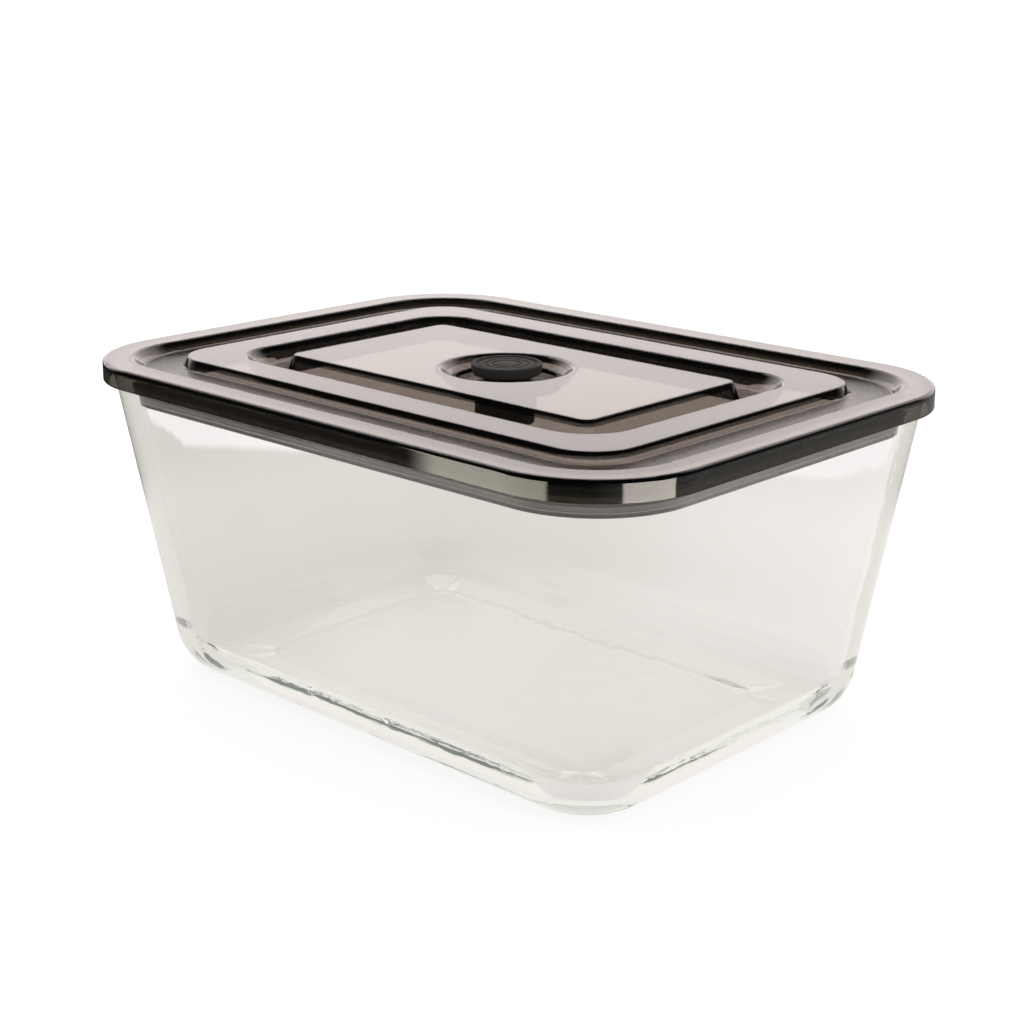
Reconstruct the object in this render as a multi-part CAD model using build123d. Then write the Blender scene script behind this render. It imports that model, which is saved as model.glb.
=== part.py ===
from build123d import *
import os

# Vacuum food canister: a tapered glass tub, a clear smoke-tinted lid with a valve
# in its middle, the lid's rim gasket and the silicone valve button.
# Lengths are millimetres and angles are degrees. The origin is the middle of the
# foot, +Z is up and +X runs along the longer side.

# Glass tub.
tub_height = 114.0
rim_length = 245.2
rim_width = 182.2
rim_corner_radius = 34.6
wall_inset = 16.8  # how far the foot's outline lies inside the rim's, on each side
foot_corner_radius = 26.5
heel_radius = 19.0
rim_wall = 3.6
foot_wall = 5.0
corner_gain = 2.5  # how much rounder the inside of a corner is than an even wall would make it
floor_thickness = 8.0
floor_radius = 14.0
rim_round = 1.4
punt_margin = 9.0  # width of the flat ring that the tub stands on
punt_corner_radius = 12.0
punt_depth = 0.8
punt_run = 6.0  # how far the punt's soft edge reaches inward

# Lid shell, a corrugated moulding of one wall thickness.
lid_wall = 1.8
skirt_gap = 1.6  # between the skirt and the tub's rim
seat_gap = 0.2  # between the lid's underside and the tub's rim
skirt_drop = 7.0
skirt_lean = 0.2
shoulder_radius = 1.3
land_edge_radius = 0.7
mouth_edge_radius = 1.2  # along the outer side of each channel
skirt_edge_radius = 0.4
channel_floor_radius = 0.8
rim_land = 10.4  # from the lid's edge to the outer channel
panel_margin = 14.8  # from the valve dock's mouth to the inner channel, across the lid
outer_channel_share = 0.365  # of the way from the rim land to the middle panel
ring_land_share = 0.3025  # the inner channel has the rest of that way
outer_channel_depth = 3.6
outer_channel_corner = 28.0
wall_run_share = 0.43  # how far a channel's wall leans for each unit of its depth
corner_ease_share = 1.12  # a channel's outer corners are this much rounder at its floor than at its mouth
ring_outer_corner = 15.5
ring_inner_corner = 16.5
inner_channel_depth = 6.0
panel_corner = 3.6

# Valve dock, the round recess in the lid's middle panel.
dock_radius = 22.7
dock_edge_radius = 1.5
dock_wall_run = 2.4
ledge_depth = 3.4
ledge_width = 2.8
pocket_depth = 6.4
pocket_wall_run = 0.6
seat_radius = 9.0
seat_depth = 4.6
dock_rib_count = 4
dock_rib_width = 2.4
dock_rib_height = 1.6
dock_rib_start = 45.0
vent_count = 6
vent_radius = 0.9
vent_circle_radius = 4.9

# Gasket and the flange that carries it.
flange_wall = 1.8
flange_foot_height = 1.2
flange_foot_gap = 0.8  # between the flange's foot and the glass
gasket_height = 6.5
gasket_body = 3.4
gasket_fit = 0.1
gasket_lip_count = 2
gasket_lip_reach = 1.5
lip_height_share = 0.7
gasket_gap = 0.3  # between the lips and the glass

# Valve button.
button_radius = 12.2
button_stand = 1.6  # how far the button's top stands above the panel
button_side = 3.7
button_chamfer = 0.5
button_lean = 0.5
rim_band_width = 1.4  # the raised edge round the button's top
rim_band_rise = 0.35
button_seat_gap = 0.2
button_foot_radius = 7.8
groove_circle_radii = [4.4, 7.0, 9.6]
groove_width = 0.7
groove_depth = 0.3
stem_radius = 2.3
stem_gap = 0.3
collar_radius = 3.8
collar_height = 1.2
cup_radius = 10.2  # the dark cup under the lid that keeps food off the vents
cup_height = 8.0
cup_wall = 1.6
valve_travel = 2.5
stop_gap = 0.3  # left between the collar or the cup and the lid at the top of the travel

# One overrun carries every cut past the face that it opens.
overrun = 2.0
level_margin = 0.01  # how far from a height a face or an edge still counts as level with it

# Heights and outlines that follow from those sizes.
lid_underside = tub_height + seat_gap
lid_top = lid_underside + lid_wall
lid_overhang = skirt_gap + lid_wall
rim_outline = (rim_length, rim_width, rim_corner_radius)


def grown(outline, margin):
    """A rounded outline with every side moved out by a margin."""
    length, width, radius = outline
    return (length + 2 * margin, width + 2 * margin, radius + margin)


def with_corner(outline, radius):
    """The same outline with another corner radius."""
    return (outline[0], outline[1], radius)


def rounder(outline, gain):
    """The same outline with its corner radius made larger by a length."""
    return with_corner(outline, outline[2] + gain)


def between(first, second, share):
    """The outline that lies a share of the way from one outline to another."""
    return tuple(a + (b - a) * share for a, b in zip(first, second))


def frustum(low_outline, high_outline, low_z, high_z):
    """A solid with straight walls between rounded outlines at two heights."""
    low = Pos(0, 0, low_z) * RectangleRounded(*low_outline)
    high = Pos(0, 0, high_z) * RectangleRounded(*high_outline)
    return loft([low.face(), high.face()], ruled=True)


def turned(points):
    """A solid of revolution about the Z axis from points of radius and height."""
    profile = make_face(Polyline(*[(r, 0, z) for r, z in points], close=True))
    return revolve(profile, Axis.Z)


def edges_at(solid, z):
    """The edges of a solid that lie flat at one height."""
    return solid.edges().filter_by_position(Axis.Z, z - level_margin, z + level_margin)


def loops_at(solid, z):
    """The closed edge loops of a solid's flat faces at one height, shortest first."""
    flat_faces = solid.faces().filter_by(Plane.XY)
    level_faces = flat_faces.filter_by_position(Axis.Z, z - level_margin, z + level_margin)
    loops = [loop for face in level_faces for loop in face.wires()]
    return sorted(loops, key=lambda loop: loop.length)


foot_outline = with_corner(grown(rim_outline, -wall_inset), foot_corner_radius)
mouth_outline = rounder(grown(rim_outline, -rim_wall), corner_gain)
floor_level_outline = between(foot_outline, rim_outline, floor_thickness / tub_height)
floor_outline = rounder(grown(floor_level_outline, -foot_wall), corner_gain)


def cavity_outline(z, gap):
    """The inside of the glass at a height, drawn in by a gap."""
    share = (z - floor_thickness) / (tub_height - floor_thickness)
    return grown(between(floor_outline, mouth_outline, share), -gap)


def make_glass_tub():
    """Tapered tub with thick corners, a heavy rounded heel, a thick floor and a rounded rim."""
    outer = frustum(foot_outline, rim_outline, 0, tub_height)
    outer = fillet(edges_at(outer, 0), heel_radius)
    cavity = frustum(floor_outline, mouth_outline, floor_thickness, tub_height)
    cavity = fillet(edges_at(cavity, floor_thickness), floor_radius)
    tub = outer - cavity
    tub = fillet(edges_at(tub, tub_height), rim_round)
    punt_outline = with_corner(grown(foot_outline, -(heel_radius + punt_margin)), punt_corner_radius)
    crown_outline = grown(punt_outline, -punt_run)
    return tub - frustum(punt_outline, crown_outline, 0, punt_depth)


lid_outline = grown(rim_outline, lid_overhang)
rim_to_panel = lid_outline[1] / 2 - rim_land - dock_radius - panel_margin
outer_channel_width = rim_to_panel * outer_channel_share
ring_land = rim_to_panel * ring_land_share
inner_channel_width = rim_to_panel - outer_channel_width - ring_land
outer_channel_outline = with_corner(grown(lid_outline, -rim_land), outer_channel_corner)
ring_outline = with_corner(grown(outer_channel_outline, -outer_channel_width), ring_outer_corner)
inner_channel_outline = with_corner(grown(ring_outline, -ring_land), ring_inner_corner)
panel_outline = with_corner(grown(inner_channel_outline, -inner_channel_width), panel_corner)
outer_channel_floor = lid_top - outer_channel_depth
flange_root = outer_channel_floor - lid_wall
skirt_foot = lid_top - skirt_drop
seat_top = lid_top - seat_depth
seat_underside = seat_top - lid_wall
pocket_underside = lid_top - pocket_depth - lid_wall
gasket_top = flange_root - gasket_fit
gasket_foot = gasket_top - gasket_height
flange_foot = gasket_foot - gasket_fit - flange_foot_height
flange_outline = cavity_outline(gasket_foot, gasket_gap + gasket_body)


def channel(outer_outline, inner_outline, depth, offset):
    """A drafted channel with eased outer corners, or its lower face a wall further on."""
    top = lid_top - offset
    floor = top - depth
    run = depth * wall_run_share
    outer_mouth = grown(outer_outline, offset)
    inner_mouth = grown(inner_outline, -offset)
    outer_foot = with_corner(grown(outer_mouth, -run), outer_mouth[2] * corner_ease_share)
    pocket = frustum(outer_foot, outer_mouth, floor, top)
    island = frustum(grown(inner_mouth, run), inner_mouth, floor, top)
    groove = pocket - island
    return fillet(edges_at(groove, floor), channel_floor_radius)


def dock(offset):
    """The stepped recess round the valve, or its lower face a wall further on."""
    top = lid_top - offset
    wall_foot = dock_radius - dock_wall_run + offset
    pocket_mouth = wall_foot - ledge_width
    boss = seat_radius - offset
    return turned([
        (0, top),
        (dock_radius + offset, top),
        (wall_foot, top - ledge_depth),
        (pocket_mouth, top - ledge_depth),
        (pocket_mouth - pocket_wall_run, top - pocket_depth),
        (boss + pocket_wall_run, top - pocket_depth),
        (boss, top - seat_depth),
        (0, top - seat_depth),
    ])


def corrugated(offset, low_z):
    """The solid under the lid's top face, or under the face a wall further in."""
    foot = grown(lid_outline, -offset)
    body = frustum(foot, grown(foot, -skirt_lean), low_z, lid_top - offset)
    body -= channel(outer_channel_outline, ring_outline, outer_channel_depth, offset)
    body -= channel(inner_channel_outline, panel_outline, inner_channel_depth, offset)
    return body - dock(offset)


def rounded_lands(solid):
    """The lid's flat lands with their dock, channel and shoulder edges rounded."""
    solid = fillet(loops_at(solid, lid_top)[0].edges(), dock_edge_radius)
    mouths = loops_at(solid, lid_top)[2::2]
    solid = fillet([edge for loop in mouths for edge in loop.edges()], mouth_edge_radius)
    lands = loops_at(solid, lid_top)[1:-1:2]
    solid = fillet([edge for loop in lands for edge in loop.edges()], land_edge_radius)
    return fillet(loops_at(solid, lid_top)[-1].edges(), shoulder_radius)


def dock_ribs():
    """Low ribs across the dock's pocket, from the valve seat to the ledge."""
    low_z = lid_top - pocket_depth
    band = Pos(0, 0, low_z) * Cylinder(dock_radius, dock_rib_height, align=(Align.CENTER, Align.CENTER, Align.MIN))
    bar = Box(dock_radius, dock_rib_width, lid_wall + pocket_depth, align=(Align.MIN, Align.CENTER, Align.CENTER))
    bars = PolarLocations(0, dock_rib_count, start_angle=dock_rib_start) * (Pos(0, 0, low_z) * bar)
    pocket = band & dock(0)
    return [pocket & one for one in bars]


def make_lid_shell():
    """Corrugated lid with its skirt, valve dock and gasket flange."""
    lowest = lid_top - max(inner_channel_depth, pocket_depth) - lid_wall - overrun
    shell = rounded_lands(corrugated(0, lowest)) - corrugated(lid_wall, lowest)
    wide = grown(lid_outline, overrun)
    keep = grown(lid_outline, -rim_land)
    shell -= frustum(wide, wide, lowest, skirt_foot) - frustum(keep, keep, lowest, skirt_foot)
    shell = fillet(edges_at(shell, skirt_foot), skirt_edge_radius)
    for rib in dock_ribs():
        shell += rib
    shell += make_flange()
    through_seat = 2 * (lid_wall + overrun)
    shell -= Pos(0, 0, seat_top) * Cylinder(stem_radius + stem_gap, through_seat)
    vents = PolarLocations(vent_circle_radius, vent_count) * Cylinder(vent_radius, through_seat)
    return shell - [Pos(0, 0, seat_top) * vent for vent in vents]


def make_flange():
    """The wall that carries the gasket, turned out at its foot to hold it."""
    inner_outline = grown(flange_outline, -flange_wall)
    foot_top = flange_foot + flange_foot_height
    foot_edge = cavity_outline(flange_foot, flange_foot_gap)
    wall = frustum(flange_outline, flange_outline, flange_foot, flange_root)
    wall += frustum(foot_edge, foot_edge, flange_foot, foot_top)
    return wall - frustum(inner_outline, inner_outline, flange_foot, flange_root)


def make_rim_gasket():
    """Silicone ring with lips that flare up against the inside of the glass."""
    pitch = gasket_height / gasket_lip_count
    core = cavity_outline(gasket_foot, gasket_gap + gasket_lip_reach)
    ring = frustum(core, core, gasket_foot, gasket_top)
    for step in range(gasket_lip_count):
        root_z = gasket_foot + step * pitch
        tip_z = root_z + pitch * lip_height_share
        root = cavity_outline(root_z, gasket_gap + gasket_lip_reach)
        ring += frustum(root, cavity_outline(tip_z, gasket_gap), root_z, tip_z)
    bore = grown(flange_outline, gasket_fit)
    return ring - frustum(bore, bore, gasket_foot, gasket_top)


def make_valve_button():
    """Silicone button with a plain ringed head, a stem, a collar and a cup under the seat."""
    top = lid_top + button_stand
    face = top - rim_band_rise
    head_foot = top - button_side
    collar_top = seat_underside - valve_travel - stop_gap
    cup_top = min(pocket_underside - valve_travel - stop_gap, collar_top - collar_height)
    cup_foot = cup_top - cup_height
    button = turned([
        (0, face),
        (button_radius - rim_band_width, face),
        (button_radius - rim_band_width, top),
        (button_radius - button_chamfer, top),
        (button_radius, top - button_chamfer),
        (button_radius - button_lean, head_foot),
        (button_foot_radius, head_foot),
        (button_foot_radius, seat_top + button_seat_gap),
        (stem_radius, seat_top + button_seat_gap),
        (stem_radius, collar_top),
        (collar_radius, collar_top),
        (collar_radius, cup_top),
        (cup_radius, cup_top),
        (cup_radius, cup_foot),
        (cup_radius - cup_wall, cup_foot),
        (cup_radius - cup_wall, cup_top - cup_wall),
        (0, cup_top - cup_wall),
    ])
    for radius in groove_circle_radii:
        groove = Cylinder(radius + groove_width, 2 * groove_depth) - Cylinder(radius, 2 * groove_depth)
        button -= Pos(0, 0, face) * groove
    return button


def main():
    """Write one STEP file for each piece of the canister."""
    os.makedirs("parts", exist_ok=True)
    pieces = {
        "glass_tub": make_glass_tub(),
        "lid_shell": make_lid_shell(),
        "rim_gasket": make_rim_gasket(),
        "valve_button": make_valve_button(),
    }
    for node, piece in pieces.items():
        export_step(piece, f"parts/{node}.step")


if __name__ == "__main__":
    main()
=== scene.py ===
import math

import bpy
from mathutils import Matrix, Vector


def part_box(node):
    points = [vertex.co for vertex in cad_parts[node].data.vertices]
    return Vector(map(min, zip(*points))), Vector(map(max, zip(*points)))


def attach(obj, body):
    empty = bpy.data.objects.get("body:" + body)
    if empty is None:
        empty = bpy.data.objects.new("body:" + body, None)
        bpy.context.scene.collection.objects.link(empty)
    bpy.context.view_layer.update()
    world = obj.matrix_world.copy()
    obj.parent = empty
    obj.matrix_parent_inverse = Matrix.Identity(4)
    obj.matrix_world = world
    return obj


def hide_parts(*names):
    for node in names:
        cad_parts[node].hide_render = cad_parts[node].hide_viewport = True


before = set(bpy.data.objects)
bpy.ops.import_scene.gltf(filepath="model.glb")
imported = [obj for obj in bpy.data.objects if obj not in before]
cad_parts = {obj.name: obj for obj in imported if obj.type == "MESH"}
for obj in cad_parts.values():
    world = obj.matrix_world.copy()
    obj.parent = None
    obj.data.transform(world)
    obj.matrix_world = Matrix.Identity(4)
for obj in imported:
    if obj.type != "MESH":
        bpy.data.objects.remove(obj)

bl_info = {
    "name": "Vacuum canister looks",
    "version": (1, 0, 0),
    "blender": (4, 5, 0),
    "location": "View3D > Sidebar > Canister",
    "description": "Finishes tub, lid and gasket, models the valve button and sets up the studio",
    "category": "Object",
}

LID_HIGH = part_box("lid_shell")[1]
GASKET_LOW, GASKET_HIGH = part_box("rim_gasket")
BUTTON_LOW, BUTTON_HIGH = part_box("valve_button")
MM = 0.001
WHITE = (1.0, 1.0, 1.0)
BLACK = (0.0, 0.0, 0.0)
LEVEL_ONLY = (1.0, 1.0, 0.0)  # leaves a point's height out

# Pressed glass. Heights and lengths are metres, and scales are features to the metre.
GLASS_IOR = 1.52
BASE_FADE = (6 * MM, 30 * MM)  # heights between which the heavy base gives way to the walls
WAVE_STRETCH = (1.0, 1.0, 0.35)  # the waves run longer up the walls
WAVE_SCALE = 30.0
WAVE_BASE_GAIN = 1.2
RIPPLE_SCALE = 85.0
RIPPLE_SHARE = 0.12
GLASS_TINT_SCALE = 30.0
HAZE_SCALE = 60.0
HAZE_TONES = (0.55, 0.85)
HAZE_ROUGHNESS = 0.004
PAINTED_GLOW_BOUNCES = 3.5  # past this many glossy bounces the glass shows a painted glow in place of the light it guides along
BRAID_SCALE = 70.0
PAINTED_SHADE_BAND = (10 * MM, 19 * MM, 12 * MM)  # middle, reach and fade of the painted shade line under the floor
PAINTED_SHADE_END = (25 * MM, 50 * MM)
FLOOR_BAND = (0.2 * MM, 0.1 * MM)
CORNER_FADE = (0.0026, 0.0034)  # x times y, in square metres, between which a corner begins
PAINTED_SPOT_LOW = (9.1 * MM, 0.7 * MM, 0.3 * MM)  # height, reach and fade of a corner's painted dark spots
PAINTED_SPOT_HIGH = (14 * MM, 1.2 * MM, 1.5 * MM)
PAINTED_SPOT_HIGH_SHARE = 0.7

# Smoke plastic.
PLASTIC_IOR = 1.52
LEVEL_BAND = (0.25 * MM, 0.2 * MM)
LEVEL_FACING = (0.9, 0.99)  # how far up a face looks before it counts as level
UPRIGHT_FACING = (0.2, 0.32)
STEEP_FACING = (0.75, 0.92)
GRAIN_START = (40 * MM, 42 * MM)
GRAIN_SCALE = 950.0
GRAIN_SHARPNESS = 0.6
GRAIN_TONES = (0.38, 0.62)
SINK_SCALE = 22.0
SINK_HEIGHT = 0.05 * MM
SMOKE_TINT_SCALE = 45.0
# fades of the painted shade at the tops of steep walls and round the valve's seat
EDGE_FADE = 0.2 * MM
SEAT_FADE = 0.8 * MM
POLISHED_ROUGHNESS = 0.015
GRAIN_ROUGHNESS = 0.26
SEAT_ROUGHNESS = 0.6

# Gasket silicone.
GASKET_IOR = 1.41
SPECKLE_SCALE = 900.0
SPECKLE_TONES = (0.5, 0.8)
SPECKLE_SHARE = 0.2
SPECKLE_HEIGHT = 0.01 * MM
DRIFT_SCALE = 30.0
DRIFT_TONES = (0.35, 0.65)
DRIFT_SHARE = 0.3
LIP_FADE = (0.32, 0.44)  # shares of the height where the lower lip's painted shade gives way to the upper lip's painted highlight
# shares of the height where the painted shade of the top inside the lid begins
TOP_FADE = (0.78, 0.86)
GASKET_SATIN = 0.38
GASKET_SATIN_DRIFT = 0.2
GASKET_SATIN_SCALE = 160.0

# Button silicone and the turned button.
BUTTON_IOR = 1.43
BUTTON_SPECULAR = 0.28
BUTTON_GRAIN_SCALE = 2600.0
BUTTON_GRAIN_HEIGHT = 0.02 * MM
BUTTON_DUST_SCALE = 700.0
BUTTON_DUST_TONES = (0.58, 0.8)
BUTTON_DUST_SHARE = 0.4
BUTTON_DUST_DEPTH = 2 * MM
BUTTON_MATT = 0.66
BUTTON_MATT_DRIFT = 0.18
BUTTON_MATT_SCALE = 300.0
BUTTON_TURNS = 96
ARC_STEPS = 5
BEVEL_SEGMENTS = 2
BEVEL_ANGLE = 40.0
SMOOTH_ANGLE = 35.0

# Studio. Angles are degrees.
BACKDROP_LIFT = 14
BACKDROP_FADE = (0.3, 0.75)
SIDE_FADE = (-0.05, 0.25)  # distances across between which the floor's left gives way to its right
UNDER_FADE = (0.04, 0.15)
FLOOR_EDGE_SLANT = 0.18
FLOOR_EDGE_FADE = 0.009
MIRRORED_FADE = (0.25, 0.32)
MOTTLE_SCALE = 3.0
MOTTLE_COLOURS = ((0.8, 0.79, 0.78), (0.82, 0.81, 0.8))
CARD_LIT_SHARE = 0.42
CARD_FADE_SHARE = 0.08
NEAR_CLIP = 0.01
# Each card's name, azimuth, distance, width, height, colour and strength.
CARDS = (
    ("left_card", -4, 0.30, 0.27, 0.11, (1.0, 0.94, 0.79), 5.6),
    ("right_card", 78, 0.30, 0.19, 0.11, (1.0, 0.93, 0.83), 9.0),
)
# Each lamp's name, place, size and power.
LAMPS = (
    ("overhead_softbox", (-0.5, 0.3, 1.3), 0.9, 4.0),
    ("side_softbox", (1.2, -0.3, 0.8), 0.7, 3.5),
)


class Signal:
    """An output socket. Python's operators on it add Math nodes to its tree."""

    def __init__(self, tree, socket):
        self.tree = tree
        self.socket = socket

    def math(self, operation, *others):
        """A Math node with this signal first and the others after it."""
        return node(self.tree, "ShaderNodeMath", {"operation": operation}, [self, *others])

    def __add__(self, other):
        return self.math("ADD", other)

    def __sub__(self, other):
        return self.math("SUBTRACT", other)

    def __mul__(self, other):
        return self.math("MULTIPLY", other)

    def __truediv__(self, other):
        return self.math("DIVIDE", other)

    def __rsub__(self, other):
        return node(self.tree, "ShaderNodeMath", {"operation": "SUBTRACT"}, [other, self])

    __radd__ = __add__
    __rmul__ = __mul__

    def rises(self, low, high):
        """0 below low, 1 above high and a smooth step between them."""
        settings = {"interpolation_type": "SMOOTHSTEP"}
        sockets = {"Value": self, "From Min": low, "From Max": high}
        return node(self.tree, "ShaderNodeMapRange", settings, sockets)

    def near(self, middle, reach, fade):
        """1 within reach of a middle value, fading to 0 over the fade beyond it."""
        return 1 - (self - middle).math("ABSOLUTE").rises(reach, reach + fade)


def node(tree, kind, settings, sockets, output=0):
    """Adds a node, sets it up, feeds its sockets and returns one output as a signal."""
    made = tree.nodes.new(kind)
    for name, value in settings.items():
        setattr(made, name, value)
    pairs = sockets.items() if isinstance(sockets, dict) else enumerate(sockets)
    for name, value in pairs:
        if isinstance(value, Signal):
            tree.links.new(value.socket, made.inputs[name])
        else:
            made.inputs[name].default_value = value
    return Signal(tree, made.outputs[output])


def mixed(tree, share, first, second):
    """A colour that goes from first to second with the share."""
    sockets = {0: share, 6: opaque(first), 7: opaque(second)}
    return node(tree, "ShaderNodeMix", {"data_type": "RGBA"}, sockets, 2)


def opaque(colour):
    """A colour with an alpha of 1, or a signal as it is."""
    return colour if isinstance(colour, Signal) else (*colour, 1.0)


def noise(tree, point, scale, detail=2.0, roughness=0.5):
    """Noise from 0 to 1 at a number of features to the metre."""
    sockets = {"Vector": point, "Scale": scale, "Detail": detail, "Roughness": roughness}
    return node(tree, "ShaderNodeTexNoise", {}, sockets)


def axis_of(tree, point, axis):
    """One coordinate of a point."""
    return node(tree, "ShaderNodeSeparateXYZ", {}, [point], axis)


def new_material(name):
    """An empty material, its tree and the object's own coordinates."""
    material = bpy.data.materials.new(name)
    material.use_nodes = True
    tree = material.node_tree
    tree.nodes.clear()
    point = node(tree, "ShaderNodeTexCoord", {}, {}, "Object")
    return material, tree, point


def bumped(tree, height):
    """Normals from a height in metres."""
    return node(tree, "ShaderNodeBump", {}, {"Strength": 1.0, "Distance": 1.0, "Height": height})


def vector_math(tree, operation, sockets, output=0):
    """Maths on points and directions."""
    return node(tree, "ShaderNodeVectorMath", {"operation": operation}, sockets, output)


def scaled(tree, point, factors):
    """A point with each of its coordinates multiplied."""
    return vector_math(tree, "MULTIPLY", [point, factors])


def length_of(tree, point):
    """How far a point lies from the middle."""
    return vector_math(tree, "LENGTH", [point], "Value")


def dotted(tree, point, direction):
    """How far a point or a direction lies along another direction."""
    return vector_math(tree, "DOT_PRODUCT", [point, direction], "Value")


def plain_light(tree, colour):
    """Light of one colour."""
    return node(tree, "ShaderNodeEmission", {}, {"Color": opaque(colour), "Strength": 1.0})


def light_blend(tree, share, first, second):
    """A shader that goes from first to second with the share."""
    return node(tree, "ShaderNodeMixShader", {}, [share, first, second])


def finish_tree(tree, sockets, absorbing=None, painted_glow=None):
    """The Principled surface, what its inside absorbs and a painted glow that stands in for the
    light it guides along.
    """
    surface = node(tree, "ShaderNodeBsdfPrincipled", {}, sockets)
    if painted_glow:
        past_glow_bounces = seen_in(tree, "Glossy Depth").math("GREATER_THAN", PAINTED_GLOW_BOUNCES)
        surface = light_blend(tree, past_glow_bounces, surface, painted_glow)
    output = tree.nodes.new("ShaderNodeOutputMaterial")
    tree.links.new(surface.socket, output.inputs["Surface"])
    if absorbing:
        colour, density = absorbing
        sockets = {"Color": opaque(colour), "Density": density}
        inside = node(tree, "ShaderNodeVolumeAbsorption", {}, sockets)
        tree.links.new(inside.socket, output.inputs["Volume"])


def dress(name, material):
    """Gives a CAD node's slots a material."""
    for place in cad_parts[name].material_slots:
        place.material = material


def pressed_glass(looks):
    """Clear pressed glass: faintly wavy all over and more so in the heavy base, with a painted glow
    and painted shade in place of the light it guides along.
    """
    material, tree, point = new_material("pressed_glass")
    x, y, z = (axis_of(tree, point, axis) for axis in range(3))
    in_base = 1 - z.rises(*BASE_FADE)
    broad = noise(tree, scaled(tree, point, WAVE_STRETCH), WAVE_SCALE, detail=1.0)
    ripple = noise(tree, point, RIPPLE_SCALE, detail=1.0)
    waves = broad * (1 + WAVE_BASE_GAIN * in_base) + ripple * RIPPLE_SHARE * in_base
    tint = mixed(tree, noise(tree, point, GLASS_TINT_SCALE), looks.tint, looks.tint_deep)
    # painted shade: a dark wandering line in the glow under the middle of the floor
    braid = (noise(tree, point, BRAID_SCALE) - 0.5) * looks.painted_shade_wander
    painted_shade_line = (y + braid).near(*PAINTED_SHADE_BAND) * (1 - x.rises(*PAINTED_SHADE_END))
    on_floor = z.near(looks.floor_thickness, *FLOOR_BAND)
    # painted shade: the dark glow used for the line under the floor and the corner spots
    shade = plain_light(tree, looks.painted_shade_colour)
    # painted glow: after many bounces the walls and the floor glow in place of the light they would
    # guide along
    painted_glow = plain_light(tree, looks.painted_wall_glow_colour)
    painted_glow = light_blend(tree, on_floor, painted_glow, plain_light(tree, looks.painted_floor_glow_colour))
    painted_glow = light_blend(tree, painted_shade_line * on_floor, painted_glow, shade)
    # painted shade: dark spots in the glow at the corners, at two heights
    in_corner = (x * y).rises(*CORNER_FADE)
    lens = z.near(*PAINTED_SPOT_LOW).math("MAXIMUM", z.near(*PAINTED_SPOT_HIGH) * PAINTED_SPOT_HIGH_SHARE)
    painted_glow = light_blend(tree, lens * in_corner, painted_glow, shade)
    finish_tree(tree, {
        "Base Color": tint,
        "Roughness": noise(tree, point, HAZE_SCALE).rises(*HAZE_TONES) * HAZE_ROUGHNESS,
        "IOR": GLASS_IOR,
        "Transmission Weight": 1.0,
        "Normal": bumped(tree, waves * looks.wave_height),
    }, (looks.depth_colour, looks.depth), painted_glow)
    return material


def smoke_plastic(looks):
    """Smoke-tinted clear plastic, glossy but for the outer channel's floor and the valve's seat,
    with painted shade on the skirt, along the tops of steep walls and on the seat.
    """
    material, tree, point = new_material("smoke_plastic")
    z = axis_of(tree, point, 2)
    out = length_of(tree, scaled(tree, point, LEVEL_ONLY))
    facing = axis_of(tree, node(tree, "ShaderNodeNewGeometry", {}, {}, "Normal"), 2)
    level = z.near(LID_HIGH.z - looks.channel_depth, *LEVEL_BAND) * facing.rises(*LEVEL_FACING)
    grained = level * out.rises(*GRAIN_START)
    grain = noise(tree, point, GRAIN_SCALE, detail=1.0, roughness=GRAIN_SHARPNESS)
    sink = noise(tree, point, SINK_SCALE, detail=1.0) * SINK_HEIGHT
    height = sink + grain * grained * looks.grain_height
    tint = mixed(tree, noise(tree, point, SMOKE_TINT_SCALE), looks.tint, looks.tint_deep)
    # painted shade: the skirt's upright faces get a darker tint
    upright = 1 - facing.math("ABSOLUTE").rises(*UPRIGHT_FACING)
    tint = mixed(tree, upright, tint, looks.painted_skirt_shade_tint)
    # painted shade: a near-black band along the top of steep walls
    edge = LID_HIGH.z - looks.painted_edge_shade_depth
    steep = 1 - facing.math("ABSOLUTE").rises(*STEEP_FACING)
    tint = mixed(tree, z.rises(edge - EDGE_FADE, edge + EDGE_FADE) * steep, tint, looks.painted_shade_tint)
    # painted shade: the same near-black tint on the matt seat under the valve button
    matt_seat_with_painted_shade = 1 - out.rises(looks.painted_seat_shade_radius, looks.painted_seat_shade_radius + SEAT_FADE)
    tint = mixed(tree, matt_seat_with_painted_shade, tint, looks.painted_shade_tint)
    grain_colour = mixed(tree, grain.rises(*GRAIN_TONES), looks.grain_tint, looks.grain_light_tint)
    tint = mixed(tree, grained, tint, grain_colour)
    finish_tree(tree, {
        "Base Color": tint,
        "Roughness": POLISHED_ROUGHNESS + GRAIN_ROUGHNESS * grained + SEAT_ROUGHNESS * matt_seat_with_painted_shade,
        "IOR": PLASTIC_IOR,
        "Transmission Weight": 1.0,
        "Normal": bumped(tree, height),
    }, (looks.depth_colour, looks.depth))
    return material


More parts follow.
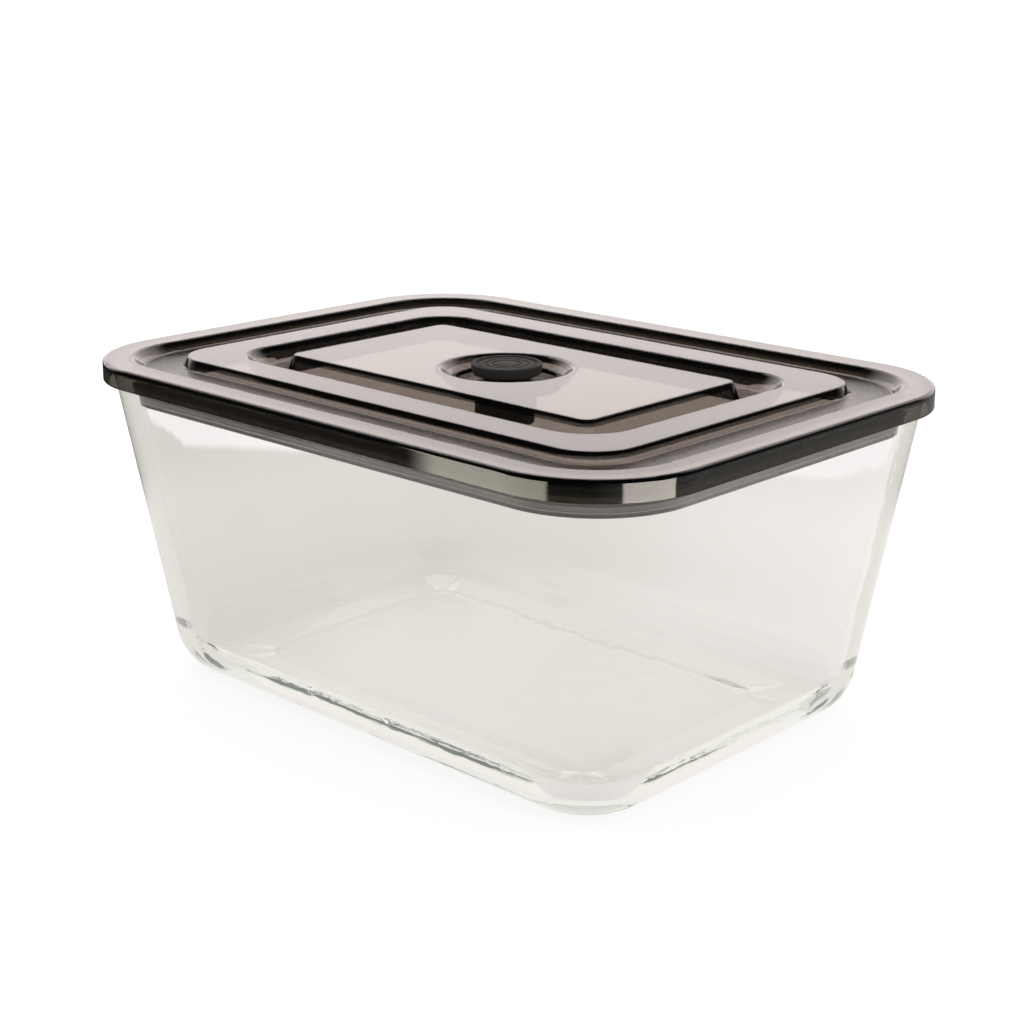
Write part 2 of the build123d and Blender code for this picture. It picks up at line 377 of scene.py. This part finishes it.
def gasket_silicone(looks):
    """Grey silicone with dust: painted shade on the lower lip, a painted highlight on the upper one
    and near-black painted shade on the top inside the lid.
    """
    material, tree, point = new_material("gasket_silicone")
    z = axis_of(tree, point, 2)
    height = (z - GASKET_LOW.z) / (GASKET_HIGH.z - GASKET_LOW.z)
    speckle = noise(tree, point, SPECKLE_SCALE, detail=3.0)
    drift = noise(tree, point, DRIFT_SCALE, detail=1.0)
    # painted shade on the lower lip and a painted highlight on the upper one
    colour = mixed(tree, height.rises(*LIP_FADE), looks.lower_lip_painted_shade, looks.upper_lip_painted_highlight)
    colour = mixed(tree, drift.rises(*DRIFT_TONES) * DRIFT_SHARE, colour, looks.dust_colour)
    colour = mixed(tree, speckle.rises(*SPECKLE_TONES) * SPECKLE_SHARE, colour, looks.dust_colour)
    # painted shade: the top inside the lid turns near-black
    colour = mixed(tree, height.rises(*TOP_FADE), colour, looks.top_painted_shade)
    finish_tree(tree, {
        "Base Color": colour,
        "Roughness": GASKET_SATIN + GASKET_SATIN_DRIFT * noise(tree, point, GASKET_SATIN_SCALE),
        "IOR": GASKET_IOR,
        "Normal": bumped(tree, speckle * SPECKLE_HEIGHT),
    })
    return material


def arc(centre, radius, start, end):
    """Points of an arc in the plane of radius and height, between two angles in degrees."""
    out, up = centre
    turns = [start + (end - start) * step / ARC_STEPS for step in range(ARC_STEPS + 1)]
    angles = [math.radians(turn) for turn in turns]
    return [(out + radius * math.cos(angle), up + radius * math.sin(angle)) for angle in angles]


def button_outline(looks):
    """Radius and height along the button, from its face over the rim to the roof of its cup."""
    top = BUTTON_HIGH.z
    radius = BUTTON_HIGH.x
    face = top - looks.rim_rise
    outline = []
    for ring in looks.ring_radii:
        ring_end, ring_floor = ring + looks.ring_width, face - looks.ring_depth
        outline += [(ring, face), (ring, ring_floor), (ring_end, ring_floor), (ring_end, face)]
    outline += [(radius - looks.rim_width, face), (radius - looks.rim_width, top)]
    edge, lip = looks.edge_round, looks.lip_round
    outline += arc((radius - edge, top - edge), edge, 90, 0)
    head_foot = top - looks.head_height
    outline += arc((radius - looks.head_lean - lip, head_foot + lip), lip, 0, -90)
    seat = head_foot - looks.foot_height
    outline += [(looks.foot_radius, head_foot), (looks.foot_radius, seat)]
    cup_top = BUTTON_LOW.z + looks.cup_height
    collar_top = cup_top + looks.collar_height
    outline += [(looks.stem_radius, seat), (looks.stem_radius, collar_top)]
    outline += [(looks.collar_radius, collar_top), (looks.collar_radius, cup_top)]
    outline += [(looks.cup_radius, cup_top), (looks.cup_radius, BUTTON_LOW.z)]
    inside = looks.cup_radius - looks.cup_wall
    return outline + [(inside, BUTTON_LOW.z), (inside, cup_top - looks.cup_wall)]


def turned_piece(name, outline):
    """A closed turned piece, drawn out loop by loop from a disc at the outline's first point."""
    radius, height = outline[0]
    bpy.ops.object.select_all(action="DESELECT")
    bpy.ops.mesh.primitive_circle_add(
        vertices=BUTTON_TURNS, radius=radius, fill_type="TRIFAN", location=(0, 0, height))
    bpy.ops.object.transform_apply(location=True, rotation=True, scale=True)
    piece = bpy.context.object
    piece.name = name
    bpy.ops.object.mode_set(mode="EDIT")
    bpy.ops.mesh.select_mode(type="EDGE")
    bpy.ops.mesh.select_all(action="DESELECT")
    bpy.ops.mesh.select_non_manifold()
    for next_radius, next_height in outline[1:]:
        rise = {"value": (0.0, 0.0, next_height - height)}
        bpy.ops.mesh.extrude_region_move(TRANSFORM_OT_translate=rise)
        share = next_radius / radius
        bpy.ops.transform.resize(value=(share, share, 1.0), center_override=(0.0, 0.0, next_height))
        radius, height = next_radius, next_height
    bpy.ops.mesh.edge_face_add()
    bpy.ops.mesh.select_all(action="SELECT")
    bpy.ops.mesh.normals_make_consistent(inside=False)
    bpy.ops.object.mode_set(mode="OBJECT")
    return piece


def soften(piece, width):
    """Rounds a piece's sharp edges a little and shades it smooth."""
    bevel = piece.modifiers.new("soft_edges", "BEVEL")
    bevel.width = width
    bevel.segments = BEVEL_SEGMENTS
    bevel.limit_method = "ANGLE"
    bevel.angle_limit = math.radians(BEVEL_ANGLE)
    bpy.context.view_layer.objects.active = piece
    bpy.ops.object.modifier_apply(modifier=bevel.name)
    bpy.ops.object.shade_smooth_by_angle(angle=math.radians(SMOOTH_ANGLE))


def button_silicone(looks):
    """Matt black silicone with a fine grain and a little dust in its rings."""
    material, tree, point = new_material("button_silicone")
    z = axis_of(tree, point, 2)
    grain = noise(tree, point, BUTTON_GRAIN_SCALE)
    dust = noise(tree, point, BUTTON_DUST_SCALE, detail=3.0).rises(*BUTTON_DUST_TONES)
    dust *= z.rises(BUTTON_HIGH.z - BUTTON_DUST_DEPTH, BUTTON_HIGH.z)
    finish_tree(tree, {
        "Base Color": mixed(tree, dust * BUTTON_DUST_SHARE, looks.colour, looks.dust_colour),
        "Roughness": BUTTON_MATT + BUTTON_MATT_DRIFT * noise(tree, point, BUTTON_MATT_SCALE),
        "IOR": BUTTON_IOR,
        "Specular IOR Level": BUTTON_SPECULAR,
        "Normal": bumped(tree, grain * BUTTON_GRAIN_HEIGHT),
    })
    return material


def seen_in(tree, kind):
    """What is known of the ray: 1 or 0 for whether it is of a kind, or how often it has bounced."""
    return node(tree, "ShaderNodeLightPath", {}, {}, kind)


def level_direction(azimuth, elevation=0.0):
    """The direction at an azimuth, counted as the camera's is, and an elevation, in degrees."""
    turn = math.radians(azimuth)
    lift = math.radians(elevation)
    return (math.sin(turn) * math.cos(lift), -math.cos(turn) * math.cos(lift), math.sin(lift))


def gloss_share(tree):
    """1 for mirrored rays. Rays that glass bends count as glossy too, so they are taken out."""
    return seen_in(tree, "Is Glossy Ray") * (1 - seen_in(tree, "Is Transmission Ray"))


def build_world(studio):
    """White for the camera, pale through glass, and dim with a lit backdrop in gloss."""
    world = bpy.data.worlds.new("studio")
    bpy.context.scene.world = world
    world.use_nodes = True
    tree = world.node_tree
    tree.nodes.clear()
    direction = node(tree, "ShaderNodeTexCoord", {}, {}, "Generated")
    to_back = dotted(tree, direction, level_direction(studio.azimuth + 180, BACKDROP_LIFT))
    gloss = mixed(tree, to_back.rises(*BACKDROP_FADE), studio.shade_colour, studio.backdrop_colour)
    colour = mixed(tree, gloss_share(tree), studio.walls_colour, gloss)
    colour = mixed(tree, seen_in(tree, "Is Transmission Ray"), colour, studio.above_colour)
    colour = mixed(tree, seen_in(tree, "Is Camera Ray"), colour, WHITE)
    background = node(tree, "ShaderNodeBackground", {}, {"Color": colour, "Strength": 1.0})
    output = tree.nodes.new("ShaderNodeOutputWorld")
    tree.links.new(background.socket, output.inputs["Surface"])


def build_floor(studio):
    """A pale floor that takes the canister's shadow. Through glass and in gloss it shows painted
    glow: painted shade on its left and far off, and a painted pool of light under and near the
    canister.
    """
    bpy.ops.mesh.primitive_plane_add(size=studio.floor_size)
    floor = bpy.context.object
    floor.name = "studio_floor"
    material, tree, point = new_material("studio_floor")
    across = dotted(tree, point, level_direction(studio.azimuth + 90))
    to_right = across.rises(*SIDE_FADE)
    to_back = dotted(tree, point, level_direction(studio.azimuth + 180))
    away = length_of(tree, point)
    # painted glow that glass sees: painted shade on the left, brighter under the canister and past
    # the floor's edge
    below = mixed(tree, to_right, studio.floor_left_colour, studio.floor_right_colour)
    below = mixed(tree, away.rises(*UNDER_FADE), studio.under_colour, below)
    past_edge = (to_back + FLOOR_EDGE_SLANT * across).rises(
        studio.floor_edge - FLOOR_EDGE_FADE, studio.floor_edge + FLOOR_EDGE_FADE)
    through = mixed(tree, past_edge, below, studio.beyond_colour)
    seen = mixed(tree, seen_in(tree, "Is Transmission Ray"), WHITE, through)
    glow = node(tree, "ShaderNodeEmission", {}, {"Color": seen, "Strength": studio.floor_white})
    catching = node(tree, "ShaderNodeBsdfDiffuse", {}, {"Color": opaque(studio.shadow_share)})
    white = node(tree, "ShaderNodeAddShader", {}, [catching, glow])
    # painted glow that gloss sees: a painted pool of light near the canister, painted shade far off
    near = mixed(tree, to_right, studio.near_left_colour, studio.near_right_colour)
    far = mixed(tree, to_right, studio.shade_colour, studio.far_right_colour)
    mirrored = node(tree, "ShaderNodeEmission", {}, {
        "Color": mixed(tree, away.rises(*MIRRORED_FADE), near, far),
        "Strength": 1.0,
    })
    pale = mixed(tree, noise(tree, point, MOTTLE_SCALE), *MOTTLE_COLOURS)
    lit = node(tree, "ShaderNodeBsdfDiffuse", {}, {"Color": pale})
    shown = light_blend(tree, gloss_share(tree), white, mirrored)
    lights = seen_in(tree, "Is Diffuse Ray").math("MAXIMUM", seen_in(tree, "Is Shadow Ray"))
    both = light_blend(tree, lights, shown, lit)
    output = tree.nodes.new("ShaderNodeOutputMaterial")
    tree.links.new(both.socket, output.inputs["Surface"])
    floor.data.materials.append(material)


def card(name, azimuth, distance, width, height, colour, strength):
    """A studio card that stands on the floor, faces the canister and shows only in its gloss."""
    bpy.ops.mesh.primitive_plane_add(size=1.0)
    made = bpy.context.object
    made.name = name
    made.data.transform(
        Matrix.Rotation(math.radians(azimuth), 4, "Z")
        @ Matrix.Translation((0.0, -distance, height / 2))
        @ Matrix.Rotation(math.radians(90), 4, "X")
        @ Matrix.Diagonal((width, height, 1.0, 1.0))
    )
    material, tree, point = new_material(name)
    across = dotted(tree, point, level_direction(azimuth + 90))
    lit = across.near(0.0, width * CARD_LIT_SHARE, width * CARD_FADE_SHARE)
    soft = mixed(tree, lit, BLACK, colour)
    glow = node(tree, "ShaderNodeEmission", {}, {"Color": soft, "Strength": strength})
    output = tree.nodes.new("ShaderNodeOutputMaterial")
    tree.links.new(glow.socket, output.inputs["Surface"])
    made.data.materials.append(material)
    made.visible_camera = False
    made.visible_diffuse = False
    made.visible_shadow = False
    made.visible_transmission = False


def softbox(name, place, size, power):
    """An area lamp that looks at the canister."""
    bpy.ops.object.light_add(type="AREA", location=place)
    lamp = bpy.context.object
    lamp.name = name
    lamp.data.shape = "SQUARE"
    lamp.data.size = size
    lamp.data.energy = power
    lamp.rotation_euler = (-Vector(place)).to_track_quat("-Z", "Y").to_euler()
    lamp.visible_glossy = False
    lamp.visible_transmission = False


def build_camera(studio):
    """The camera at the photograph's place, turn and lens."""
    bpy.ops.object.camera_add()
    camera = bpy.context.object
    camera.name = "photo_camera"
    camera.data.lens = studio.lens
    camera.data.clip_start = NEAR_CLIP
    camera.matrix_world = (
        Matrix.Translation(studio.camera_place)
        @ Matrix.Rotation(math.radians(studio.azimuth), 4, "Z")
        @ Matrix.Rotation(math.radians(90 - studio.pitch), 4, "X")
        @ Matrix.Rotation(math.radians(studio.roll), 4, "Z")
    )
    bpy.context.scene.camera = camera
    bpy.context.scene.view_settings.view_transform = "Standard"


class TubLooks(bpy.types.PropertyGroup):
    """The glass tub's finish."""

    tint: bpy.props.FloatVectorProperty(
        name="Tint", description="Colour that each surface gives light",
        subtype="COLOR", size=3, default=(0.965, 0.955, 0.945), min=0.0, max=1.0)
    tint_deep: bpy.props.FloatVectorProperty(
        name="Deeper tint", description="The darkest of the tint's faint drift",
        subtype="COLOR", size=3, default=(0.95, 0.94, 0.93), min=0.0, max=1.0)
    depth_colour: bpy.props.FloatVectorProperty(
        name="Depth colour", description="Colour that thick glass turns to",
        subtype="COLOR", size=3, default=(0.45, 0.75, 0.62), min=0.0, max=1.0)
    depth: bpy.props.FloatProperty(
        name="Depth", description="How fast thick glass takes on its colour, to the metre",
        default=1.4, min=0.0)
    floor_thickness: bpy.props.FloatProperty(
        name="Floor", description="Thickness of the tub's floor",
        default=8.0 * MM, unit="LENGTH")
    # painted glow of the glass's floor, in place of guided light
    painted_floor_glow_colour: bpy.props.FloatVectorProperty(
        name="Guided light", description="Colour of the light that thick glass guides along",
        subtype="COLOR", size=3, default=(0.94, 0.90, 0.85), min=0.0, max=1.0)
    # painted glow of the glass's walls and corners, in place of guided light
    painted_wall_glow_colour: bpy.props.FloatVectorProperty(
        name="Guided light in the walls",
        description="Colour of the light that the walls and corners guide along",
        subtype="COLOR", size=3, default=(0.80, 0.76, 0.72), min=0.0, max=1.0)
    # painted shade in the glass's glow, as a line under the floor and spots at the corners
    painted_shade_colour: bpy.props.FloatVectorProperty(
        name="Guided shade",
        description="Colour of the light that comes from under the middle of the floor",
        subtype="COLOR", size=3, default=(0.17, 0.20, 0.175), min=0.0, max=1.0)
    # how far the painted shade line wanders
    painted_shade_wander: bpy.props.FloatProperty(
        name="Braid", description="How far the shade in the guided light wanders",
        default=40.0 * MM, unit="LENGTH")
    wave_height: bpy.props.FloatProperty(
        name="Waves", description="Height of the pressed glass's waves",
        default=0.22 * MM, unit="LENGTH")


class LidLooks(bpy.types.PropertyGroup):
    """The lid shell's finish."""

    tint: bpy.props.FloatVectorProperty(
        name="Tint", description="Colour that each surface gives light",
        subtype="COLOR", size=3, default=(0.82, 0.79, 0.76), min=0.0, max=1.0)
    tint_deep: bpy.props.FloatVectorProperty(
        name="Deeper tint", description="The darkest of the tint's faint drift",
        subtype="COLOR", size=3, default=(0.79, 0.76, 0.73), min=0.0, max=1.0)
    # painted shade on the skirt's upright faces
    painted_skirt_shade_tint: bpy.props.FloatVectorProperty(
        name="Skirt tint", description="Colour that the skirt's upright faces give light",
        subtype="COLOR", size=3, default=(0.36, 0.37, 0.35), min=0.0, max=1.0)
    depth_colour: bpy.props.FloatVectorProperty(
        name="Depth colour", description="Colour that thick plastic turns to",
        subtype="COLOR", size=3, default=(0.34, 0.27, 0.20), min=0.0, max=1.0)
    depth: bpy.props.FloatProperty(
        name="Depth", description="How fast thick plastic takes on its colour, to the metre",
        default=760.0, min=0.0)
    channel_depth: bpy.props.FloatProperty(
        name="Channel depth", description="Depth of the grained outer channel",
        default=3.6 * MM, unit="LENGTH")
    grain_height: bpy.props.FloatProperty(
        name="Grain", description="Height of the outer channel's grain",
        default=0.22 * MM, unit="LENGTH")
    grain_tint: bpy.props.FloatVectorProperty(
        name="Grain tint", description="Colour that the grained floor's pits give light",
        subtype="COLOR", size=3, default=(0.30, 0.29, 0.28), min=0.0, max=1.0)
    grain_light_tint: bpy.props.FloatVectorProperty(
        name="Grain light tint", description="Colour that the grained floor's heights give light",
        subtype="COLOR", size=3, default=(0.52, 0.50, 0.48), min=0.0, max=1.0)
    # painted shade along the tops of steep walls and on the seat under the button
    painted_shade_tint: bpy.props.FloatVectorProperty(
        name="Edge tint", description="Colour that the flats' thick edges give light",
        subtype="COLOR", size=3, default=(0.05, 0.05, 0.05), min=0.0, max=1.0)
    # radius of the matt seat and its painted shade
    painted_seat_shade_radius: bpy.props.FloatProperty(
        name="Seat", description="Radius of the dark matt seat under the valve button",
        default=9.8 * MM, unit="LENGTH")
    # depth of the painted shade along the tops of steep walls
    painted_edge_shade_depth: bpy.props.FloatProperty(
        name="Edge depth", description="How far down the flats' edges look dark",
        default=2.2 * MM, unit="LENGTH")


class GasketLooks(bpy.types.PropertyGroup):
    """The rim gasket's finish."""

    # painted highlight on the upper lip
    upper_lip_painted_highlight: bpy.props.FloatVectorProperty(
        name="Upper colour", description="Colour of the upper lip",
        subtype="COLOR", size=3, default=(0.34, 0.33, 0.29), min=0.0, max=1.0)
    # painted shade on the lower lip
    lower_lip_painted_shade: bpy.props.FloatVectorProperty(
        name="Lower colour", description="Colour of the lower lip",
        subtype="COLOR", size=3, default=(0.14, 0.137, 0.12), min=0.0, max=1.0)
    # painted shade on the top inside the lid
    top_painted_shade: bpy.props.FloatVectorProperty(
        name="Hidden colour", description="Colour of its top, inside the lid",
        subtype="COLOR", size=3, default=(0.02, 0.02, 0.02), min=0.0, max=1.0)
    dust_colour: bpy.props.FloatVectorProperty(
        name="Dust", description="Colour of the dust on it",
        subtype="COLOR", size=3, default=(0.5, 0.49, 0.46), min=0.0, max=1.0)


class ButtonLooks(bpy.types.PropertyGroup):
    """The valve button's sizes and finish."""

    rim_width: bpy.props.FloatProperty(
        name="Rim width", description="Width of the raised edge",
        default=1.4 * MM, unit="LENGTH")
    rim_rise: bpy.props.FloatProperty(
        name="Rim rise", description="How far the edge stands above the face",
        default=0.35 * MM, unit="LENGTH")
    ring_radii: bpy.props.FloatVectorProperty(
        name="Rings", description="Inner radius of each ring in the face",
        size=3, unit="LENGTH", default=(4.4 * MM, 7.0 * MM, 9.6 * MM))
    ring_width: bpy.props.FloatProperty(
        name="Ring width", description="Width of a ring",
        default=0.7 * MM, unit="LENGTH")
    ring_depth: bpy.props.FloatProperty(
        name="Ring depth", description="Depth of a ring",
        default=0.3 * MM, unit="LENGTH")
    edge_round: bpy.props.FloatProperty(
        name="Edge", description="Radius of the head's upper edge",
        default=0.6 * MM, unit="LENGTH")
    lip_round: bpy.props.FloatProperty(
        name="Lip", description="Radius of the head's lower edge",
        default=0.4 * MM, unit="LENGTH")
    head_height: bpy.props.FloatProperty(
        name="Head", description="Height of the head",
        default=3.7 * MM, unit="LENGTH")
    head_lean: bpy.props.FloatProperty(
        name="Lean", description="How far the head's side leans in",
        default=0.5 * MM, unit="LENGTH")
    foot_radius: bpy.props.FloatProperty(
        name="Foot radius", description="Radius of the foot under the head",
        default=7.8 * MM, unit="LENGTH")
    foot_height: bpy.props.FloatProperty(
        name="Foot height", description="Height of the foot",
        default=2.3 * MM, unit="LENGTH")
    stem_radius: bpy.props.FloatProperty(
        name="Stem", description="Radius of the stem",
        default=2.3 * MM, unit="LENGTH")
    collar_radius: bpy.props.FloatProperty(
        name="Collar", description="Radius of the collar",
        default=3.8 * MM, unit="LENGTH")
    collar_height: bpy.props.FloatProperty(
        name="Collar height", description="Height of the collar",
        default=1.8 * MM, unit="LENGTH")
    cup_radius: bpy.props.FloatProperty(
        name="Cup", description="Radius of the cup under the lid",
        default=10.2 * MM, unit="LENGTH")
    cup_height: bpy.props.FloatProperty(
        name="Cup height", description="Height of the cup",
        default=8.0 * MM, unit="LENGTH")
    cup_wall: bpy.props.FloatProperty(
        name="Cup wall", description="Thickness of the cup",
        default=1.6 * MM, unit="LENGTH")
    soft_edge: bpy.props.FloatProperty(
        name="Soft edges", description="Width of the bevel on the sharp edges",
        default=0.08 * MM, unit="LENGTH")
    colour: bpy.props.FloatVectorProperty(
        name="Colour", description="Colour of the silicone",
        subtype="COLOR", size=3, default=(0.034, 0.033, 0.031), min=0.0, max=1.0)
    dust_colour: bpy.props.FloatVectorProperty(
        name="Dust", description="Colour of the dust on it",
        subtype="COLOR", size=3, default=(0.16, 0.155, 0.15), min=0.0, max=1.0)


class StudioSettings(bpy.types.PropertyGroup):
    """The floor, the light and the camera."""

    camera_place: bpy.props.FloatVectorProperty(
        name="Camera place", description="Where the camera stands",
        subtype="TRANSLATION", size=3, default=(0.42324, -0.44673, 0.25266))
    azimuth: bpy.props.FloatProperty(
        name="Azimuth", description="Degrees that the camera is turned round the canister",
        default=43.276)
    pitch: bpy.props.FloatProperty(
        name="Pitch", description="Degrees that the camera looks down",
        default=17.005)
    roll: bpy.props.FloatProperty(
        name="Roll", description="Degrees that the camera leans",
        default=0.1436)
    lens: bpy.props.FloatProperty(
        name="Lens", description="Focal length in millimetres",
        default=65.05)
    floor_size: bpy.props.FloatProperty(
        name="Floor", description="Side of the floor",
        default=12.0, unit="LENGTH")
    floor_white: bpy.props.FloatProperty(
        name="Floor white", description="Strength of the white that the floor shows by itself",
        default=0.84)
    shadow_share: bpy.props.FloatVectorProperty(
        name="Shadow share", description="Share of the floor's white that the light gives it",
        subtype="COLOR", size=3, default=(0.26, 0.26, 0.26), min=0.0, max=1.0)
    walls_colour: bpy.props.FloatVectorProperty(
        name="Walls", description="Colour of the studio's walls",
        subtype="COLOR", size=3, default=(0.72, 0.70, 0.68), min=0.0, max=4.0)
    backdrop_colour: bpy.props.FloatVectorProperty(
        name="Backdrop", description="Colour of the lit backdrop",
        subtype="COLOR", size=3, default=(1.84, 1.69, 1.66), min=0.0, max=4.0)
    shade_colour: bpy.props.FloatVectorProperty(
        name="Shade", description="Colour of the studio's dark sides",
        subtype="COLOR", size=3, default=(0.03, 0.03, 0.03), min=0.0, max=4.0)
    beyond_colour: bpy.props.FloatVectorProperty(
        name="Beyond", description="What lies past the floor's edge as glass shows it",
        subtype="COLOR", size=3, default=(1.06, 1.02, 1.06), min=0.0, max=4.0)
    above_colour: bpy.props.FloatVectorProperty(
        name="Above", description="The studio's upper half as glass shows it",
        subtype="COLOR", size=3, default=(0.85, 0.81, 0.775), min=0.0, max=4.0)
    floor_edge: bpy.props.FloatProperty(
        name="Floor edge", description="How far behind the canister glass shows the floor's edge",
        default=0.28, unit="LENGTH")
    # painted light under the canister, as glass shows the floor
    under_colour: bpy.props.FloatVectorProperty(
        name="Under", description="The floor under the canister as glass shows it",
        subtype="COLOR", size=3, default=(0.98, 0.965, 0.94), min=0.0, max=4.0)
    # painted shade on the floor's left, as glass shows it
    floor_left_colour: bpy.props.FloatVectorProperty(
        name="Floor left", description="The floor's left as glass shows it",
        subtype="COLOR", size=3, default=(0.67, 0.63, 0.605), min=0.0, max=4.0)
    floor_right_colour: bpy.props.FloatVectorProperty(
        name="Floor right", description="The floor's right as glass shows it",
        subtype="COLOR", size=3, default=(0.91, 0.89, 0.865), min=0.0, max=4.0)
    # painted pool of light near the canister, as gloss shows the floor
    near_left_colour: bpy.props.FloatVectorProperty(
        name="Near left", description="The floor's near left as gloss shows it",
        subtype="COLOR", size=3, default=(0.85, 0.83, 0.79), min=0.0, max=4.0)
    near_right_colour: bpy.props.FloatVectorProperty(
        name="Near right", description="The floor's near right as gloss shows it",
        subtype="COLOR", size=3, default=(0.98, 0.96, 0.93), min=0.0, max=4.0)
    # painted shade on the floor's far right, as gloss shows it
    far_right_colour: bpy.props.FloatVectorProperty(
        name="Far right", description="The floor's far right as gloss shows it",
        subtype="COLOR", size=3, default=(0.35, 0.34, 0.33), min=0.0, max=4.0)


class CanisterSettings(bpy.types.PropertyGroup):
    """All the canister's settings."""

    tub: bpy.props.PointerProperty(type=TubLooks)
    lid: bpy.props.PointerProperty(type=LidLooks)
    gasket: bpy.props.PointerProperty(type=GasketLooks)
    button: bpy.props.PointerProperty(type=ButtonLooks)
    studio: bpy.props.PointerProperty(type=StudioSettings)


class CANISTER_OT_glass_tub(bpy.types.Operator):
    """Finish the glass tub."""

    bl_idname = "canister.glass_tub"
    bl_label = "Finish glass tub"

    def execute(self, context):
        dress("glass_tub", pressed_glass(context.scene.canister.tub))
        return {"FINISHED"}


class CANISTER_OT_lid_shell(bpy.types.Operator):
    """Finish the smoke plastic lid."""

    bl_idname = "canister.lid_shell"
    bl_label = "Finish lid shell"

    def execute(self, context):
        dress("lid_shell", smoke_plastic(context.scene.canister.lid))
        return {"FINISHED"}


class CANISTER_OT_rim_gasket(bpy.types.Operator):
    """Finish the lid's gasket."""

    bl_idname = "canister.rim_gasket"
    bl_label = "Finish rim gasket"

    def execute(self, context):
        dress("rim_gasket", gasket_silicone(context.scene.canister.gasket))
        return {"FINISHED"}


class CANISTER_OT_valve_button(bpy.types.Operator):
    """Model the soft valve button over its solid and finish it."""

    bl_idname = "canister.valve_button"
    bl_label = "Make valve button"

    def execute(self, context):
        looks = context.scene.canister.button
        button = turned_piece("soft_valve_button", button_outline(looks))
        soften(button, looks.soft_edge)
        button.data.materials.append(button_silicone(looks))
        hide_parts("valve_button")
        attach(button, "valve")
        return {"FINISHED"}


class CANISTER_OT_studio(bpy.types.Operator):
    """Set up the floor, the light and the camera."""

    bl_idname = "canister.studio"
    bl_label = "Set up studio"

    def execute(self, context):
        studio = context.scene.canister.studio
        build_world(studio)
        build_floor(studio)
        for one in CARDS:
            card(*one)
        for one in LAMPS:
            softbox(*one)
        build_camera(studio)
        return {"FINISHED"}


class CANISTER_PT_sidebar(bpy.types.Panel):
    """The canister's operators and settings."""

    bl_label = "Canister"
    bl_space_type = "VIEW_3D"
    bl_region_type = "UI"
    bl_category = "Canister"

    def draw(self, context):
        for step in STEPS:
            self.layout.operator(step.bl_idname)
        settings = context.scene.canister
        for part in (settings.tub, settings.lid, settings.gasket, settings.button, settings.studio):
            box = self.layout.box()
            for name in part.__annotations__:
                box.prop(part, name)


LOOKS = (TubLooks, LidLooks, GasketLooks, ButtonLooks, StudioSettings, CanisterSettings)
STEPS = (
    CANISTER_OT_glass_tub,
    CANISTER_OT_lid_shell,
    CANISTER_OT_rim_gasket,
    CANISTER_OT_valve_button,
    CANISTER_OT_studio,
)


def register():
    """Registers the settings, the operators and the panel."""
    for one in (*LOOKS, *STEPS, CANISTER_PT_sidebar):
        bpy.utils.register_class(one)
    bpy.types.Scene.canister = bpy.props.PointerProperty(type=CanisterSettings)


def unregister():
    """Takes them away again."""
    del bpy.types.Scene.canister
    for one in (CANISTER_PT_sidebar, *reversed(STEPS), *reversed(LOOKS)):
        bpy.utils.unregister_class(one)


def main():
    """Runs each operator in turn."""
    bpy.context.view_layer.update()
    register()
    bpy.ops.object.select_all(action="DESELECT")
    bpy.ops.canister.glass_tub()
    bpy.ops.canister.lid_shell()
    bpy.ops.canister.rim_gasket()
    bpy.ops.canister.valve_button()
    bpy.ops.canister.studio()


if __name__ == "__main__":
    main()
